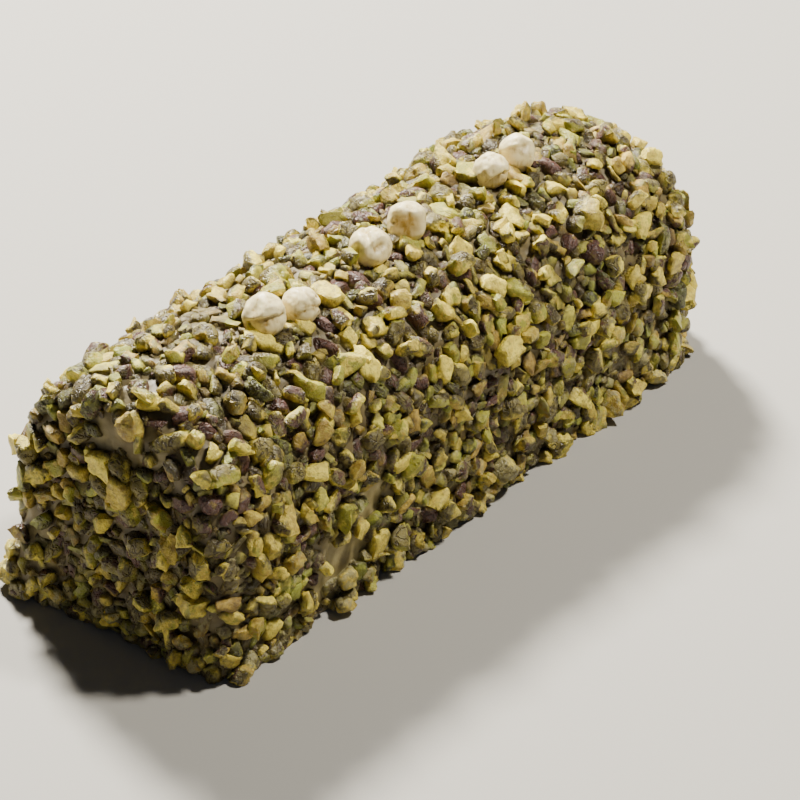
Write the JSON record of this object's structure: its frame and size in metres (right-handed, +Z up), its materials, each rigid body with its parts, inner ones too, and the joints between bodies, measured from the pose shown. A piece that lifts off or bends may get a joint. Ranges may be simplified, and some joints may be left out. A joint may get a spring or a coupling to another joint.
{
  "type": "ice cream log cake",
  "caption": "Loaf-shaped ice cream log with an arched top, coated all over in chopped pistachios, with pairs of peeled hazelnuts set along its ridge.",
  "frame": {"origin": "middle of the flat base that the log rests on", "axes": "+Z up, +X along the log towards the more rounded end, Y across it"},
  "size_m": [0.2901, 0.0972, 0.1037],
  "materials": {
    "pistachio_coat": "chopped pistachio kernels over pale pistachio ice cream, matte with a faint oily sheen",
    "hazelnut": "peeled hazelnut kernel, satin ivory with tan toasted spots"
  },
  "bodies": {
    "root": {"log": "pistachio_coat", "hazelnut_1": "hazelnut", "hazelnut_2": "hazelnut", "hazelnut_3": "hazelnut", "hazelnut_4": "hazelnut", "hazelnut_5": "hazelnut", "hazelnut_6": "hazelnut"}
  },
  "joints": []
}
